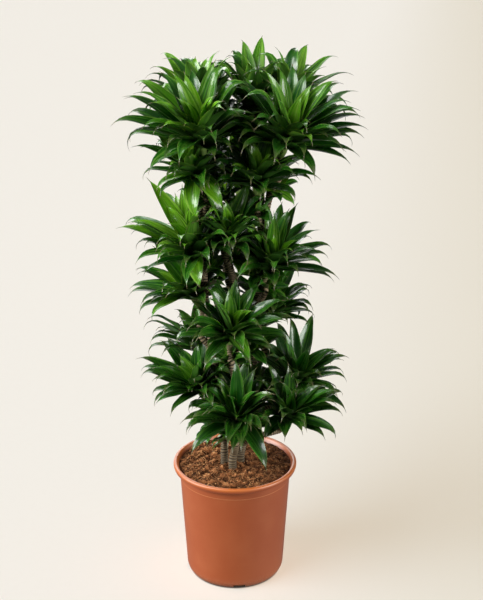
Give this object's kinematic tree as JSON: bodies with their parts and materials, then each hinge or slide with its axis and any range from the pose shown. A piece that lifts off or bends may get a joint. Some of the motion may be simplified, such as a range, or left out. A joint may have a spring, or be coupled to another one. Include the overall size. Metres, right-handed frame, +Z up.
{
  "type": "potted corn plant",
  "caption": "Branched corn plant with ringed canes and dense heads of arching strap leaves, standing in coir soil in a tapered plastic grow pot.",
  "frame": {"origin": "centre of the pot's flat underside", "axes": "+Z up along the pot's axis; -Y is the front that the picture shows; +X to the right seen from the front"},
  "size_m": [0.4916, 0.4162, 1.1502],
  "materials": {
    "pot": "satin",
    "soil": "matte",
    "bark": "matte",
    "leaf": "satin"
  },
  "bodies": {
    "root": {"pot": "pot", "soil": "soil", "cane_left": "bark", "cane_front": "bark", "cane_right": "bark", "head_top_front_left": "leaf", "head_top_front_right": "leaf", "head_top_back_middle": "leaf", "head_top_back_left": "leaf", "head_top_back_right": "leaf", "head_upper_left": "leaf", "head_upper_right": "leaf", "head_upper_back": "leaf", "head_middle_left": "leaf", "head_middle_low_left": "leaf", "head_middle_right": "leaf", "head_middle_back": "leaf", "head_middle_front": "leaf", "head_lower_front": "leaf", "head_lower_right": "leaf", "head_lower_back_left": "leaf", "head_bottom_left": "leaf", "head_bottom_right": "leaf", "head_bottom_front_right": "leaf", "head_bottom_front": "leaf", "head_bottom_back": "leaf"}
  },
  "joints": []
}
